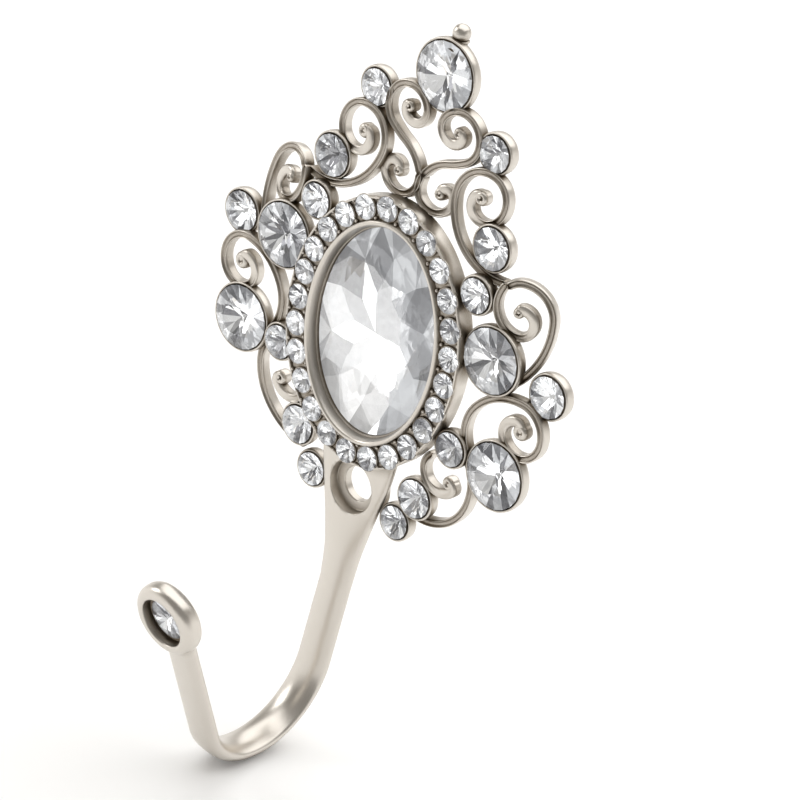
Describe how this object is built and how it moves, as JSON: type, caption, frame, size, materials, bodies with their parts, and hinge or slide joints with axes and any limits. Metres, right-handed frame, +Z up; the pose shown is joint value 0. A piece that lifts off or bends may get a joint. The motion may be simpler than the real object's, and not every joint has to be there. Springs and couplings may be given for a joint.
{
  "type": "curtain holdback",
  "caption": "Wall-mounted curtain holdback: a pierced cast rosette of scrolls set with clear cut stones, over a screw hole and a curved hook that ends in a stone cup.",
  "frame": {"origin": "where the axis of the screw hole meets the wall face", "axes": "+Z up, +X to the right seen from the room, the rosette faces -Y and the wall lies at y = 0"},
  "size_m": [0.057, 0.0344, 0.0984],
  "materials": {
    "cast_metal": "satin champagne nickel plating over a zinc alloy casting",
    "stone": "clear cut stones with a silvered back"
  },
  "bodies": {
    "root": {"cast_body": "cast_metal", "stone_brow_left": "stone", "stone_brow_right": "stone", "stone_crest": "stone", "stone_foot_left": "stone", "stone_foot_right": "stone", "stone_heel_left": "stone", "stone_heel_right": "stone", "stone_ledge_left": "stone", "stone_ledge_right": "stone", "stone_lower_left": "stone", "stone_lower_right": "stone", "stone_oval": "stone", "stone_pave_01": "stone", "stone_pave_02": "stone", "stone_pave_03": "stone", "stone_pave_04": "stone", "stone_pave_05": "stone", "stone_pave_06": "stone", "stone_pave_07": "stone", "stone_pave_08": "stone", "stone_pave_09": "stone", "stone_pave_10": "stone", "stone_pave_11": "stone", "stone_pave_12": "stone", "stone_pave_13": "stone", "stone_pave_14": "stone", "stone_pave_15": "stone", "stone_pave_16": "stone", "stone_pave_17": "stone", "stone_pave_18": "stone", "stone_pave_19": "stone", "stone_pave_20": "stone", "stone_pave_21": "stone", "stone_pave_22": "stone", "stone_pave_23": "stone", "stone_pave_24": "stone", "stone_pave_25": "stone", "stone_side_left": "stone", "stone_side_right": "stone", "stone_temple_left": "stone", "stone_temple_right": "stone", "stone_tip": "stone", "stone_upper_left": "stone", "stone_upper_right": "stone", "stone_wing_left": "stone", "stone_wing_right": "stone"}
  },
  "joints": []
}
